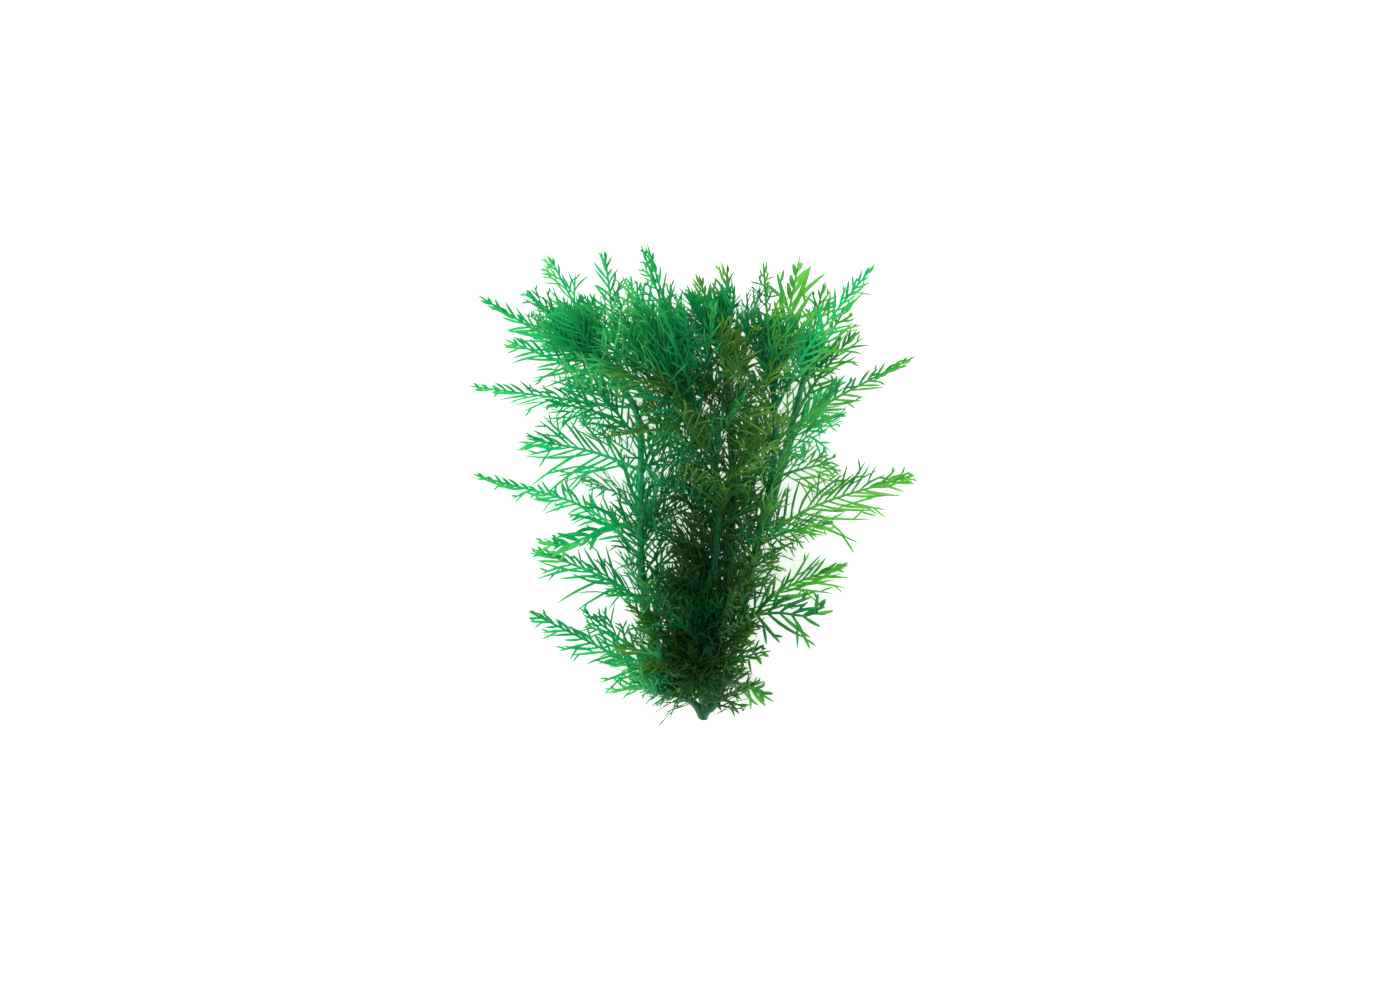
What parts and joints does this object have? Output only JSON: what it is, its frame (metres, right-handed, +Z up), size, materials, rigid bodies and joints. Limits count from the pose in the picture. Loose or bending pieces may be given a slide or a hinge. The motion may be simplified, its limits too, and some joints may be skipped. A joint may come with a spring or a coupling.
{
  "type": "water wisteria",
  "caption": "Cut aquarium plant laid on its back: branching green stems with finely cut, fern-like leaves in opposite pairs and a bunch of young leaves at each growing tip.",
  "frame": {"origin": "on the surface that the plant lies on, under the middle of its outline", "axes": "+Y along the plant from its cut end to its growing tips, +Z up from the surface, out of the plant's front"},
  "size_m": [0.2224, 0.2386, 0.1053],
  "materials": {
    "stem": "satin",
    "young_leaf": "satin",
    "blue_green_leaf": "satin",
    "yellow_green_leaf": "satin",
    "dark_leaf": "satin"
  },
  "bodies": {
    "root": {"left_shoot": "stem", "left_growing_tip": "young_leaf", "left_leaf_1": "blue_green_leaf", "left_leaf_2": "blue_green_leaf", "left_leaf_3": "blue_green_leaf", "left_leaf_4": "blue_green_leaf", "left_leaf_5": "blue_green_leaf", "left_leaf_6": "blue_green_leaf", "left_leaf_7": "blue_green_leaf", "left_leaf_8": "blue_green_leaf", "left_leaf_9": "blue_green_leaf", "left_leaf_10": "blue_green_leaf", "left_leaf_11": "blue_green_leaf", "left_leaf_12": "blue_green_leaf", "left_leaf_13": "blue_green_leaf", "left_leaf_14": "blue_green_leaf", "left_leaf_15": "blue_green_leaf", "centre_shoot": "stem", "centre_growing_tip": "young_leaf", "centre_leaf_1": "blue_green_leaf", "centre_leaf_2": "blue_green_leaf", "centre_leaf_3": "blue_green_leaf", "centre_leaf_4": "blue_green_leaf", "centre_leaf_5": "blue_green_leaf", "centre_leaf_6": "blue_green_leaf", "centre_leaf_7": "blue_green_leaf", "centre_leaf_8": "blue_green_leaf", "main_stem": "stem", "main_growing_tip": "young_leaf", "main_leaf_1": "dark_leaf", "main_leaf_2": "dark_leaf", "main_leaf_3": "dark_leaf", "main_leaf_4": "dark_leaf", "main_leaf_5": "dark_leaf", "main_leaf_6": "dark_leaf", "right_shoot": "stem", "right_growing_tip": "young_leaf", "right_leaf_1": "yellow_green_leaf", "right_leaf_2": "yellow_green_leaf", "right_leaf_3": "yellow_green_leaf", "right_leaf_4": "yellow_green_leaf", "right_leaf_5": "yellow_green_leaf", "right_leaf_6": "yellow_green_leaf", "right_leaf_7": "yellow_green_leaf", "right_leaf_8": "yellow_green_leaf", "right_leaf_9": "yellow_green_leaf", "right_leaf_10": "yellow_green_leaf", "right_leaf_11": "yellow_green_leaf", "right_leaf_12": "yellow_green_leaf", "far_right_shoot": "stem", "far_right_growing_tip": "young_leaf", "far_right_leaf_1": "yellow_green_leaf", "far_right_leaf_2": "yellow_green_leaf", "far_right_leaf_3": "yellow_green_leaf", "far_right_leaf_4": "yellow_green_leaf", "low_shoot": "stem", "low_growing_tip": "young_leaf", "low_leaf_1": "dark_leaf", "low_leaf_2": "dark_leaf", "low_leaf_3": "dark_leaf"}
  },
  "joints": []
}
